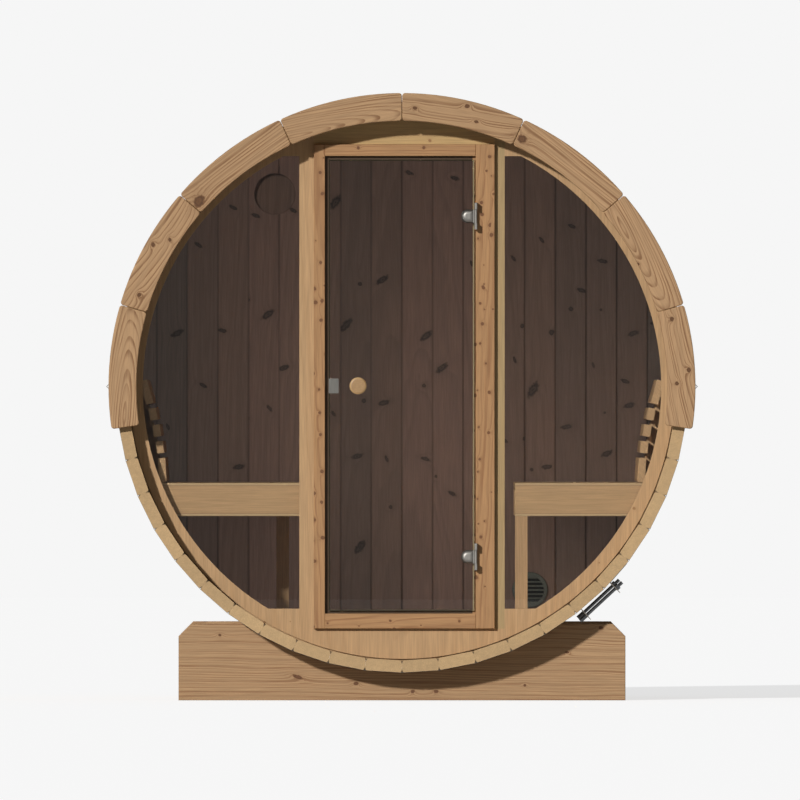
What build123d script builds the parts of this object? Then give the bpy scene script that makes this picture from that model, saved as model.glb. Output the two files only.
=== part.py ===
from build123d import *
import math
import os

# Barrel sauna with a glazed front wall, standing on two timber cradles.
# Millimetres. +X is to the right as seen from the front, -Y is the front and +Z is up.
# Every profile is drawn about the barrel's axis, x to the right and y up, and every finished
# piece is lifted by axis_height, so that the cradles stand on z = 0.
# Clock angles run from the top of the barrel, clockwise as seen from the front.

# Barrel of staves
barrel_length = 1800
barrel_radius = 1000  # axis to the outer flat of a stave
ground_clearance = 101  # under the lowest stave
stave_count = 48
staves_per_group = 6
stave_thickness = 42
stave_bevel = 4  # V joint along each edge of a stave
stave_gap = 0.2
croze_depth = 10  # groove in the staves that holds an end wall
wall_inset = 94  # stave ends to the outer face of an end wall
wall_thickness = 42
wall_rebate = 12  # each face to the tongue that sits in the staves
wall_shadow_gap = 3  # wall face to the staves
fit = 0.5  # joinery clearance

# Arch boards on the stave ends
arch_overhang = 28  # outside the staves
arch_lip = 28  # inside the staves
arch_thickness = 42
arch_pieces_per_side = 4
arch_piece_angle = 24.6
arch_seam = 1.0
arch_corner = 11
arch_edge = 4

# Steel bands round the barrel
band_thickness = 1.5
band_width = 30
band_setback = 95  # stave ends to the middle of a band
band_fold_height = 37
band_fold_half = 38
band_tail_angle = 5
lug_clock = 137.2
lug_spread = 139  # between the two lugs of a band
lug_height = 50
lug_thickness = 3
rod_height = 28
rod_radius = 6
rod_overhang = 29  # beyond each lug
rod_clearance = 0.4
nut_across = 19
nut_thickness = 12
sleeve_radius = 7.5  # welded end of the rod

# Cradles under the barrel
cradle_width = 1568
cradle_height = 268
cradle_thickness = 70
cradle_setback = 170  # stave ends to the outer face of a cradle
cradle_chamfer = 43
cradle_edge = 3

# Front wall
window_rim_width = 49  # seen inside the staves
window_sill_rise = 70  # above the foot of the door frame
window_glass_thickness = 8
window_glass_bite = 12
window_glass_depth = 17  # wall face to the glass
post_face_left = 51
post_face_right = 35

# Door frame, as tall as fits inside the window rims
frame_width = 634
frame_offset = 8  # right of the barrel's axis
frame_proud = 25
frame_edge = 2.5
jamb_left_face = 39
jamb_right_face = 67
head_face = 41
sill_face = 53
stop_overlap = 5  # of the door stop behind the glass
stop_clearance = 5

# Glass door leaf
door_gap_left = 13
door_gap_right = 5
door_gap_top = 12
door_gap_bottom = 9
door_glass_thickness = 8
door_glass_setback = 8  # frame face to the glass
knob_inset = 103  # leaf edge to the knob's middle
knob_height = 851  # above the foot of the door frame
knob_radius = 30
knob_depth = 35
knob_edge = 8
knob_neck_radius = 14
knob_neck = 8
knob_bolt_radius = 6
catch_width = 35
catch_height = 52
catch_thickness = 3

# Hinges
hinge_inset_top = 199
hinge_inset_bottom = 190
hinge_axis_offset = 1  # from the jamb's inner face, outwards over the jamb
hinge_axis_proud = 16  # jamb face to the axis
hinge_bar_height = 95
hinge_bar_depth = 37
hinge_bar_edge = 2
knuckle_radius = 5
knuckle_gap = 0.5
hinge_pin_radius = 2.5
hinge_pin_clearance = 0.05
clamp_height = 47
clamp_reach = 52  # from the hinge axis across the glass
clamp_thickness = 26
clamp_edge = 15
clamp_pad_thickness = 6
clamp_pad_inset = 20

# Vents in the back wall
vent_bore_radius = 50
vent_cover_clock = -33.4
vent_cover_inset = 138  # staves to the cover's middle
vent_cover_radius = 73
vent_cover_thickness = 12
vent_cover_recess = 20  # inner face of the wall to the cover
vent_cover_edge = 1
vent_lip = 13  # round the bore, behind the cover
vent_grille_clock = 147.8
vent_grille_inset = 105
vent_grille_radius = 63
vent_grille_thickness = 12
vent_grille_edge = 3
louvre_count = 6
louvre_height = 10.5
louvre_pitch = 14.5
louvre_slope = 45  # down towards the outside, so that nothing shows through

# Duckboard floor, level with the foot of the door frame
deck_slat_width = 95
deck_slat_thickness = 28
deck_slat_gap = 10
deck_bearer_width = 45
deck_bearer_count = 4
deck_bearer_end = 150  # deck end to the nearest bearer's middle
end_gap = 14  # floor and benches to the end walls
slat_edge = 3

# Benches, the left one wider than the right one
bench_height = 511  # above the floor
bench_inner_right = 396
bench_inner_left = 340
bench_outer_gap = 65  # between the bench's ends and the staves
bench_slat_thickness = 28
bench_slat_gap = 10
bench_slat_count = 4
bench_apron_height = 117
bench_apron_thickness = 28
bench_apron_gap = 8  # to the staves
bench_bearer_thickness = 34
bench_bearer_count = 3
bench_bearer_end = 250  # bench end to the nearest bearer's middle
bench_leg_inset = 3  # from the right bench's inner edge
bench_leg_size = 44

# Backrests
backrest_foot_gap = 3  # bench to the lowest slat
backrest_depth = 62  # its top edge to the staves
backrest_tilt = -1  # of the top slat, in degrees beyond the staves' slope at the bench
backrest_path_radius = 1300
backrest_slat_turn = 4  # each slat stands this much steeper than the path
backrest_wide_slat = 85  # the top and the bottom one
backrest_slat = 42
backrest_slat_gap = 18
backrest_slat_count = 5
backrest_slat_thickness = 26
bracket_thickness = 28

# Sizes that follow from the ones above
half_length = barrel_length / 2
axis_height = barrel_radius + ground_clearance
stave_inner = barrel_radius - stave_thickness
croze_radius = stave_inner + croze_depth
wall_radius = croze_radius - fit
wall_face_radius = stave_inner - wall_shadow_gap
tongue_front = wall_rebate - fit / 2  # from the wall's outer face
tongue_back = wall_thickness - wall_rebate + fit / 2
inside_radius = stave_inner - fit
half_pitch = 180 / stave_count
arch_outer_radius = barrel_radius + arch_overhang
arch_inner_radius = stave_inner - arch_lip
wall_front = -half_length + wall_inset
wall_back = wall_front + wall_thickness
window_rim_radius = stave_inner - window_rim_width
frame_left = frame_offset - frame_width / 2
frame_right = frame_offset + frame_width / 2
frame_top = math.sqrt(window_rim_radius**2 - frame_right**2)
frame_bottom = -frame_top
frame_front = wall_front - frame_proud
opening_left = frame_left + jamb_left_face
opening_right = frame_right - jamb_right_face
opening_top = frame_top - head_face
opening_bottom = frame_bottom + sill_face
window_bottom = frame_bottom + window_sill_rise
window_top = opening_top
window_inner_left = frame_left - post_face_left
window_inner_right = frame_right + post_face_right
door_left = opening_left + door_gap_left
door_right = opening_right - door_gap_right
door_top = opening_top - door_gap_top
door_bottom = opening_bottom + door_gap_bottom
door_front = frame_front + door_glass_setback
door_back = door_front + door_glass_thickness
knob_x = door_left + knob_inset
knob_z = frame_bottom + knob_height
hinge_x = opening_right + hinge_axis_offset
hinge_y = frame_front - hinge_axis_proud
rod_length = lug_spread + lug_thickness + 2 * rod_overhang
hinge_places = (door_bottom + hinge_inset_bottom, door_top - hinge_inset_top)
deck_top = frame_bottom
deck_bottom = deck_top - deck_slat_thickness
deck_pitch = deck_slat_width + deck_slat_gap
deck_room = 2 * math.sqrt(inside_radius**2 - deck_bottom**2)
deck_slat_count = int((deck_room + deck_slat_gap) / deck_pitch)
inside_end = -wall_back - end_gap
bench_top = deck_top + bench_height
bench_slat_bottom = bench_top - bench_slat_thickness
bench_apron_bottom = bench_top - bench_apron_height
bench_outer_radius = stave_inner - bench_outer_gap
bench_apron_radius = stave_inner - bench_apron_gap
bench_leg_inner = bench_inner_right + bench_leg_inset
backrest_slats = [backrest_slat] * (backrest_slat_count - 2)
backrest_slats = [backrest_wide_slat] + backrest_slats + [backrest_wide_slat]
backrest_length = sum(backrest_slats) + backrest_slat_gap * (backrest_slat_count - 1)
backrest_foot = bench_top + backrest_foot_gap
backrest_top_angle = math.asin(-backrest_foot / inside_radius) + math.radians(backrest_tilt)
backrest_foot_angle = backrest_top_angle - backrest_length / backrest_path_radius
backrest_fall = backrest_path_radius * (math.sin(backrest_top_angle) - math.sin(backrest_foot_angle))
backrest_top = backrest_foot + backrest_fall
backrest_top_x = math.sqrt(inside_radius**2 - backrest_top**2) - backrest_depth
far = 3 * barrel_radius  # beyond every piece

lift = Pos(0, 0, axis_height)


def slab(profile, y_front, y_back):
    """A profile drawn about the barrel's axis, extruded between two depths."""
    plane = Plane(origin=(0, y_back, 0), x_dir=(1, 0, 0), z_dir=(0, -1, 0))
    return extrude(plane * profile, amount=y_back - y_front, dir=(0, -1, 0))


def area(x_low, x_high, z_low, z_high):
    """A rectangle given by its sides."""
    middle = Pos((x_low + x_high) / 2, (z_low + z_high) / 2)
    return middle * Rectangle(x_high - x_low, z_high - z_low)


def block(x_low, x_high, y_low, y_high, z_low, z_high):
    """A box given by its sides, heights from the barrel's axis."""
    return slab(area(x_low, x_high, z_low, z_high), y_low, y_high)


def upright(x, y, radius, z_low, z_high):
    """A vertical cylinder."""
    return Pos(x, y, (z_low + z_high) / 2) * Cylinder(radius, z_high - z_low)


def clock(angle):
    """A turn about the barrel's axis, clockwise as seen from the front."""
    return Rot(0, angle, 0)


def mirrored(piece):
    return piece.mirror(Plane.YZ)


def soften_front(piece, radius):
    """The piece with rounded edges round its foremost face."""
    return fillet(piece.faces().sort_by(Axis.Y)[0].outer_wire().edges(), radius)


def rounded(outline, radius):
    """A profile with rounded corners."""
    return fillet(outline.vertices(), radius)


def evenly(count, end_inset):
    """Middles of several like pieces along the inside, the outer two set in from its ends."""
    reach = inside_end - end_inset
    return [-reach + 2 * reach * i / (count - 1) for i in range(count)]


def stave_polygon(apothem):
    """The many-sided outline of the barrel at a distance from its axis, corners at the joints."""
    corner = apothem / math.cos(math.radians(half_pitch))
    turns = [math.radians(2 * half_pitch * i) for i in range(stave_count)]
    return Polygon(*[(corner * math.cos(t), corner * math.sin(t)) for t in turns], align=None)


def write_node(name, pieces):
    solids = [solid for piece in pieces for solid in piece.solids()]
    export_step(lift * Compound(solids), f"parts/{name}.step")


def one_stave():
    """A stave at the top of the barrel, with bevelled edges and a groove for each end wall."""
    slope = math.tan(math.radians(half_pitch))

    def half_width(radius):
        return radius * slope - stave_gap / 2

    corners = [
        (half_width(barrel_radius) - stave_bevel, barrel_radius),
        (half_width(barrel_radius - stave_bevel), barrel_radius - stave_bevel),
        (half_width(stave_inner + stave_bevel), stave_inner + stave_bevel),
        (half_width(stave_inner) - stave_bevel, stave_inner),
    ]
    other_side = [(-x, z) for x, z in reversed(corners)]
    stave = slab(Polygon(*corners, *other_side, align=None), -half_length, half_length)
    groove = slab(Circle(croze_radius), wall_front + tongue_front, wall_front + tongue_back)
    return stave - groove - groove.mirror(Plane.XZ)


def write_staves():
    """Groups of neighbouring staves, from the bottom joint clockwise."""
    stave = one_stave()
    for group in range(stave_count // staves_per_group):
        first = group * staves_per_group
        turns = [180 + 2 * half_pitch * (first + i + 0.5) for i in range(staves_per_group)]
        write_node(f"staves_{group + 1}", [clock(turn) * stave for turn in turns])


def arch_piece():
    """One arch board at the top of the barrel, on the front ends of the staves."""
    half = arch_piece_angle / 2 - math.degrees(arch_seam / 2 / arch_inner_radius)
    ring = Circle(arch_outer_radius) - Circle(arch_inner_radius)
    reach = far * math.tan(math.radians(half))
    sector = Polygon((0, 0), (reach, far), (-reach, far), align=None)
    outline = ring & sector
    board = slab(rounded(outline, arch_corner), -half_length - arch_thickness, -half_length)
    return soften_front(board, arch_edge)


def write_arches():
    board = arch_piece()
    turns = [arch_piece_angle * (i + 0.5) for i in range(arch_pieces_per_side)]
    right = [clock(turn) * board for turn in turns]
    left = [clock(-turn) * board for turn in turns]
    write_node("front_arch_right", right)
    write_node("front_arch_left", left)
    write_node("rear_arch_right", [piece.mirror(Plane.XZ) for piece in right])
    write_node("rear_arch_left", [piece.mirror(Plane.XZ) for piece in left])


def band(y_middle):
    """A steel strap with its two lugs and the folded joint on each side of the barrel."""
    strap_radius = barrel_radius + band_thickness
    strap = stave_polygon(strap_radius)
    tail_reach = far * math.tan(math.radians(band_tail_angle))
    tail = Polygon((0, 0), (0, far), (-tail_reach, far), align=None)
    tail_clock = lug_clock - math.degrees(math.asin(lug_spread / 2 / barrel_radius))
    strap += stave_polygon(strap_radius + band_thickness) & (Rot(0, 0, -tail_clock) * tail)
    lug = area(-lug_thickness / 2, lug_thickness / 2, stave_inner, barrel_radius + lug_height)
    for side in (-1, 1):
        strap += Rot(0, 0, -lug_clock) * Pos(side * lug_spread / 2, 0) * lug
    peak = barrel_radius + band_fold_height
    root = barrel_radius - band_fold_half
    fold = Polygon((root, -2 * band_fold_half), (peak, 0), (root, 2 * band_fold_half), align=None)
    fold -= Pos(-2 * band_thickness, 0) * fold
    for turn in (0, 180):
        strap += Rot(0, 0, turn) * fold
    strap -= stave_polygon(barrel_radius)
    body = slab(strap, y_middle - band_width / 2, y_middle + band_width / 2)
    bore = Cylinder(rod_radius + rod_clearance, rod_length)
    return body - tightener_place(y_middle) * bore


def tightener_place(y_middle):
    """Where a band's tightening rod lies, with its length along the local Z axis."""
    return clock(lug_clock) * Pos(0, y_middle, barrel_radius + rod_height) * Rot(0, 90, 0)


def tightener(y_middle):
    """A threaded rod with a nut outside the upper lug and a sleeve outside the lower one."""
    rod = Cylinder(rod_radius, rod_length)
    seat = (lug_spread + lug_thickness) / 2
    hexagon = RegularPolygon(nut_across / 2, 6, major_radius=False)
    nut = Pos(0, 0, -seat - nut_thickness) * extrude(hexagon, nut_thickness)
    sleeve = Pos(0, 0, seat) * extrude(Circle(sleeve_radius), rod_overhang)
    return tightener_place(y_middle) * (rod + nut + sleeve)


def write_bands():
    places = [-half_length + band_setback, half_length - band_setback]
    write_node("steel_bands", [band(place) for place in places])
    write_node("band_tighteners", [tightener(place) for place in places])


def write_cradles():
    """A timber beam on edge with a round seat for the barrel."""
    half = cradle_width / 2
    top = cradle_height - axis_height
    shoulder = top - cradle_chamfer
    corner = half - cradle_chamfer
    outline = Polygon(
        (-half, -axis_height),
        (half, -axis_height),
        (half, shoulder),
        (corner, top),
        (-corner, top),
        (-half, shoulder),
        align=None,
    )
    flat_end = barrel_radius * math.tan(math.radians(half_pitch)) - stave_bevel
    seat_radius = math.hypot(barrel_radius, flat_end) + fit / 2
    front = -half_length + cradle_setback
    beam = slab(outline - Circle(seat_radius), front, front + cradle_thickness)
    beam = soften_front(beam, cradle_edge)
    write_node("cradle_front", [beam])
    write_node("cradle_rear", [beam.mirror(Plane.XZ)])


def window_outline(inner_x, growth):
    """A window on the right of the door, larger on every side by growth."""
    opening = area(inner_x - growth, far, window_bottom - growth, window_top + growth)
    return Circle(window_rim_radius + growth) & opening


def wall_rebates():
    """What is cut from the edge of the front wall, on both faces, to leave its tongue."""
    ring = Circle(barrel_radius) - Circle(wall_face_radius)
    return slab(ring, wall_front, wall_front + wall_rebate) + slab(ring, wall_back - wall_rebate, wall_back)


def write_front_wall():
    """Lower panel, posts, head panel, window rims and window panes."""
    disc = Circle(wall_radius)
    glass_front = wall_front + window_glass_depth
    glass_back = glass_front + window_glass_thickness

    def pocket(inner_x):
        outline = window_outline(inner_x, window_glass_bite + fit)
        return slab(outline, glass_front - fit / 2, glass_back + fit / 2)

    pockets = pocket(window_inner_right) + mirrored(pocket(-window_inner_left))

    def wall_piece(outline):
        return slab(outline, wall_front, wall_back) - pockets - wall_rebates()

    doorway = area(window_inner_left, window_inner_right, frame_bottom, far)
    lower = (disc & area(-far, far, -far, window_bottom)) - doorway
    write_node("front_lower_panel", [wall_piece(lower)])

    post_right = disc & area(frame_right, window_inner_right, frame_bottom, far)
    post_left = disc & area(window_inner_left, frame_left, frame_bottom, far)
    write_node("front_post_right", [wall_piece(post_right)])
    write_node("front_post_left", [wall_piece(post_left)])

    head = disc & area(frame_left, frame_right, frame_top, far)
    write_node("front_head_panel", [wall_piece(head)])

    def rim(inner_x):
        return (disc & area(inner_x, far, window_bottom, far)) - window_outline(inner_x, 0)

    def pane(inner_x):
        return slab(window_outline(inner_x, window_glass_bite), glass_front, glass_back)

    write_node("window_rim_right", [wall_piece(rim(window_inner_right))])
    write_node("window_rim_left", [wall_piece(rim(-window_inner_left).mirror(Plane.YZ))])
    write_node("window_glass_right", [pane(window_inner_right)])
    write_node("window_glass_left", [mirrored(pane(-window_inner_left))])


def write_door_frame():
    """Two jambs with the head and sill between them, each with its part of the door stop."""
    stop_front = door_back + stop_clearance
    stop_left = door_left + stop_overlap
    stop_right = door_right - stop_overlap
    stop_top = door_top - stop_overlap
    stop_bottom = door_bottom + stop_overlap

    def bar(x_low, x_high, z_low, z_high):
        return soften_front(block(x_low, x_high, frame_front, wall_back, z_low, z_high), frame_edge)

    def stop(x_low, x_high, z_low, z_high):
        return block(x_low, x_high, stop_front, wall_back, z_low, z_high)

    left = bar(frame_left, opening_left, frame_bottom, frame_top)
    left += stop(opening_left, stop_left, opening_bottom, opening_top)
    right = bar(opening_right, frame_right, frame_bottom, frame_top)
    right += stop(stop_right, opening_right, opening_bottom, opening_top)
    head = bar(opening_left, opening_right, opening_top, frame_top)
    head += stop(stop_left, stop_right, stop_top, opening_top)
    sill = bar(opening_left, opening_right, frame_bottom, opening_bottom)
    sill += stop(stop_left, stop_right, opening_bottom, stop_bottom)
    write_node("door_jamb_left", [left])
    write_node("door_jamb_right", [right])
    write_node("door_head", [head])
    write_node("door_sill", [sill])


def knob_half():
    """The half of the knob in front of the glass, on a short neck."""
    centre = Pos(knob_x, knob_z)
    head = slab(centre * Circle(knob_radius), door_front - knob_depth, door_front - knob_neck)
    neck = slab(centre * Circle(knob_neck_radius), door_front - knob_neck, door_front)
    return soften_front(head, knob_edge) + neck


def write_door():
    """Frameless glass leaf, its knob and its catch plate."""
    centre = Pos(knob_x, knob_z)
    bore = slab(centre * Circle(knob_bolt_radius + fit / 2), door_front, door_back)
    leaf = block(door_left, door_right, door_front, door_back, door_bottom, door_top) - bore
    write_node("door_glass", [leaf])

    bolt = slab(centre * Circle(knob_bolt_radius), door_front - knob_neck, door_back + knob_neck)
    outer = knob_half()
    inner = outer.mirror(Plane.XZ.offset(-(door_front + door_back) / 2))
    write_node("door_knob", [bolt + outer + inner])

    half = catch_height / 2
    catch_front = door_front - catch_thickness
    catch_right = door_left + catch_width
    catch = block(door_left, catch_right, catch_front, door_front, knob_z - half, knob_z + half)
    write_node("catch_plate", [catch])


def hinge_bar(height):
    """The half of a hinge that stands on the jamb: an upright bar, notched round its pin."""
    half = hinge_bar_height / 2
    middle = clamp_height / 2 + knuckle_gap
    left = hinge_x - knuckle_radius
    right = hinge_x + knuckle_radius
    bar = block(left, right, frame_front - hinge_bar_depth, frame_front, -half, half)
    bar = soften_front(bar, hinge_bar_edge)
    notch_back = hinge_y + knuckle_radius + knuckle_gap
    bar -= block(left, right, -far, notch_back, -middle, middle)
    bar += upright(hinge_x, hinge_y, hinge_pin_radius, -half, half)
    return Pos(0, 0, height) * bar


def hinge_clamp(height):
    """The half of a hinge that grips the glass: a domed front on a knuckle, and a pad behind."""
    half = clamp_height / 2
    edge = hinge_x - knuckle_radius - knuckle_gap
    nose = hinge_x - clamp_reach + half
    dome_outline = area(nose, edge, -half, half) + Pos(nose, 0) * Circle(half)
    dome = slab(dome_outline, door_front - clamp_thickness, door_front)
    dome = soften_front(dome, clamp_edge)
    arm_back = hinge_y + knuckle_radius
    arm = block(edge - knuckle_radius, hinge_x, hinge_y, arm_back, -half, half)
    pad_outline = dome_outline & area(-far, hinge_x - clamp_pad_inset, -half, half)
    pad = slab(pad_outline, door_back, door_back + clamp_pad_thickness)
    knuckle = upright(hinge_x, hinge_y, knuckle_radius, -half, half)
    bore = upright(hinge_x, hinge_y, hinge_pin_radius + hinge_pin_clearance, -half, half)
    return [Pos(0, 0, height) * (dome + arm + knuckle - bore), Pos(0, 0, height) * pad]


def write_hinges():
    write_node("hinge_bars", [hinge_bar(height) for height in hinge_places])
    clamps = [piece for height in hinge_places for piece in hinge_clamp(height)]
    write_node("hinge_clamps", clamps)


def vent_place(vent_clock, inset):
    """The middle of a vent on the back wall."""
    angle = math.radians(vent_clock)
    reach = stave_inner - inset
    return Pos(reach * math.sin(angle), reach * math.cos(angle))


def write_back_wall():
    """A round wall of upright boards, with a sunk vent cover high up and a grille low down."""
    inner_face = -wall_back
    cover_front = inner_face + vent_cover_recess
    cover_back = cover_front + vent_cover_thickness
    cover_place = vent_place(vent_cover_clock, vent_cover_inset)
    grille_place = vent_place(vent_grille_clock, vent_grille_inset)
    wall = Circle(wall_radius) - grille_place * Circle(vent_bore_radius)
    wall -= cover_place * Circle(vent_cover_radius - vent_lip)
    board = slab(wall, inner_face, -wall_front) - wall_rebates().mirror(Plane.XZ)
    board -= slab(cover_place * Circle(vent_cover_radius + fit), inner_face, cover_back)
    write_node("back_wall", [board])

    cover = slab(cover_place * Circle(vent_cover_radius), cover_front, cover_back)
    write_node("vent_cover", [soften_front(cover, vent_cover_edge)])

    grille = slab(grille_place * Circle(vent_grille_radius), inner_face - vent_grille_thickness, inner_face)
    grille = soften_front(grille, vent_grille_edge)
    slope = math.tan(math.radians(louvre_slope))
    face = Plane(origin=(0, inner_face, 0), x_dir=(1, 0, 0), z_dir=(0, -1, 0))
    for i in range(louvre_count):
        height = (i - (louvre_count - 1) / 2) * louvre_pitch
        room = Circle(vent_bore_radius) & (Pos(0, height) * Rectangle(2 * vent_bore_radius, louvre_height))
        lowered = Pos(0, -slope * vent_grille_thickness) * grille_place * room
        grille -= extrude(face * lowered, amount=far, dir=(0, -1, slope))
    write_node("vent_grille", [grille])


def write_floor():
    """Duckboard of lengthwise slats on cross bearers that follow the staves."""
    half = (deck_slat_count * deck_pitch - deck_slat_gap) / 2
    slats = []
    for i in range(deck_slat_count):
        low = -half + i * deck_pitch
        outline = rounded(area(low, low + deck_slat_width, deck_bottom, deck_top), slat_edge)
        slats.append(slab(outline, -inside_end, inside_end))
    write_node("floor_deck", slats)

    outline = Circle(inside_radius) & area(-half, half, -far, deck_bottom)
    thick = deck_bearer_width / 2
    places = evenly(deck_bearer_count, deck_bearer_end)
    write_node("floor_bearers", [slab(outline, place - thick, place + thick) for place in places])


def write_bench(side, inner, mirror_it):
    """A bench along one side of the barrel, drawn on the right."""
    seat_end = inside_end - bench_apron_thickness
    outer = math.sqrt(bench_outer_radius**2 - bench_top**2)
    slat_width = (outer - inner - (bench_slat_count - 1) * bench_slat_gap) / bench_slat_count
    limit = Circle(bench_outer_radius)

    def finished(pieces):
        return [mirrored(piece) for piece in pieces] if mirror_it else pieces

    slats = []
    for i in range(bench_slat_count):
        low = inner + i * (slat_width + bench_slat_gap)
        outline = area(low, low + slat_width, bench_slat_bottom, bench_top) & limit
        slats.append(slab(rounded(outline, slat_edge), -seat_end, seat_end))
    write_node(f"bench_seat_{side}", finished(slats))

    apron_outline = area(inner, far, bench_apron_bottom, bench_top) & Circle(bench_apron_radius)
    apron = soften_front(slab(apron_outline, -inside_end, -seat_end), slat_edge)
    write_node(f"bench_aprons_{side}", finished([apron, apron.mirror(Plane.XZ)]))

    bearer = area(inner, far, bench_apron_bottom, bench_slat_bottom) & Circle(inside_radius)
    half = bench_bearer_thickness / 2
    places = evenly(bench_bearer_count, bench_bearer_end)
    bearers = [slab(bearer, place - half, place + half) for place in places]
    write_node(f"bench_bearers_{side}", finished(bearers))


def write_bench_legs():
    """A leg from the staves up to the middle bearer of each bench."""
    leg = area(bench_leg_inner, bench_leg_inner + bench_leg_size, -far, bench_apron_bottom)
    outline = leg & Circle(inside_radius)
    half = bench_leg_size / 2
    middle = evenly(bench_bearer_count, bench_bearer_end)[bench_bearer_count // 2]
    leg = slab(outline, middle - half, middle + half)
    write_node("bench_legs", [leg, mirrored(leg)])


def backrest_place(distance):
    """Where a slat's top front corner lies, by its distance down the curved line of the back."""
    angle = backrest_top_angle - distance / backrest_path_radius
    x = backrest_top_x - backrest_path_radius * (math.cos(angle) - math.cos(backrest_top_angle))
    z = backrest_top - backrest_path_radius * (math.sin(backrest_top_angle) - math.sin(angle))
    return Pos(x, z) * Rot(0, 0, backrest_slat_turn - math.degrees(angle))


def write_backrests():
    """Lengthwise slats on brackets that are cut to their backs and stand against the staves."""
    slats = []
    back_line = []
    distance = 0
    for height in backrest_slats:
        place = backrest_place(distance)
        slats.append(place * rounded(area(0, backrest_slat_thickness, -height, 0), slat_edge))
        for drop in (0, height):
            corner = (place * Pos(backrest_slat_thickness, -drop)).position
            back_line.append((corner.X, corner.Y))
        distance += height + backrest_slat_gap

    outside = [(far, back_line[-1][1]), (far, back_line[0][1])]
    bracket = Circle(inside_radius) & Polygon(*back_line, *outside, align=None)
    slat_pieces = [slab(slat, -inside_end, inside_end) for slat in slats]
    half = bracket_thickness / 2
    places = evenly(bench_bearer_count, bench_bearer_end)
    bracket_pieces = [slab(bracket, place - half, place + half) for place in places]
    write_node("backrest_right", slat_pieces)
    write_node("backrest_left", [mirrored(piece) for piece in slat_pieces])
    write_node("backrest_brackets_right", bracket_pieces)
    write_node("backrest_brackets_left", [mirrored(piece) for piece in bracket_pieces])


os.makedirs("parts", exist_ok=True)
write_staves()
write_arches()
write_bands()
write_cradles()
write_front_wall()
write_door_frame()
write_door()
write_hinges()
write_back_wall()
write_floor()
write_bench("right", bench_inner_right, False)
write_bench("left", bench_inner_left, True)
write_bench_legs()
write_backrests()
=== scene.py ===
# Barrel sauna: timber barrel with a glazed front wall, built up in the order in which it is
# put together. Metres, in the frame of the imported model: +X right, -Y front, +Z up.
import bmesh
import bpy
import math
from mathutils import Matrix, Vector


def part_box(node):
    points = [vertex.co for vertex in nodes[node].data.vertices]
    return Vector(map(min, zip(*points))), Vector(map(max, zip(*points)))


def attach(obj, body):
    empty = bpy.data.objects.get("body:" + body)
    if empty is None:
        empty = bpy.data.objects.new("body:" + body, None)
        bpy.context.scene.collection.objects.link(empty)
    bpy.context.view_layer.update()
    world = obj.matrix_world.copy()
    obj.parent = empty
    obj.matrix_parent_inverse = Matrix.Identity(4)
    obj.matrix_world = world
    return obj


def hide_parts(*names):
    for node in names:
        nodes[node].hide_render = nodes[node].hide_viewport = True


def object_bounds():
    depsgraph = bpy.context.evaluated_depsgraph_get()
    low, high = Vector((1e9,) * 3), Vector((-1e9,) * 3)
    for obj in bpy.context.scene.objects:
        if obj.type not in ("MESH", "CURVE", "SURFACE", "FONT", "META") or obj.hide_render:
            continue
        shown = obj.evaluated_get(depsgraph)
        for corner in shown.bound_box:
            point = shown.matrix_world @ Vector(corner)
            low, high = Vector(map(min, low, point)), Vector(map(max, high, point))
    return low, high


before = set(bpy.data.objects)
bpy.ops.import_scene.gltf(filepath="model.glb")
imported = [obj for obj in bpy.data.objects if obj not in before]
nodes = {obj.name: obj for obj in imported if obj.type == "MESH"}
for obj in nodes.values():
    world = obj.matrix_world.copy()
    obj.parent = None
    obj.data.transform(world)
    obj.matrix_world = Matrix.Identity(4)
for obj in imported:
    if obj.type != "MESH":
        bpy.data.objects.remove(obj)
cad_bounds = [list(corner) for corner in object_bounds()]


# Staves. Planed spruce boards with bevelled edges, laid edge to edge round the end walls.
# Their ends show end grain and their long faces straight grain, each board cut from another
# part of the log, so that each has a tone, a ring pattern and knots of its own.
def linear(code):
    """An sRGB hex colour as linear RGBA."""
    parts = [int(code[i:i + 2], 16) / 255 for i in (0, 2, 4)]
    return [v / 12.92 if v <= 0.04045 else ((v + 0.055) / 1.055) ** 2.4 for v in parts] + [1]


def add(tree, kind, inputs=(), **settings):
    """Adds a node with its settings; each input is a value, a socket or a node's first output."""
    node = tree.nodes.new(kind)
    for name, value in settings.items():
        setattr(node, name, value)
    pairs = inputs.items() if isinstance(inputs, dict) else enumerate(inputs)
    for key, value in pairs:
        if value is None:
            continue
        if isinstance(value, bpy.types.Node):
            value = next(socket for socket in value.outputs if socket.enabled)
        if isinstance(value, bpy.types.NodeSocket):
            tree.links.new(value, node.inputs[key])
        else:
            node.inputs[key].default_value = value
    return node


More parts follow.
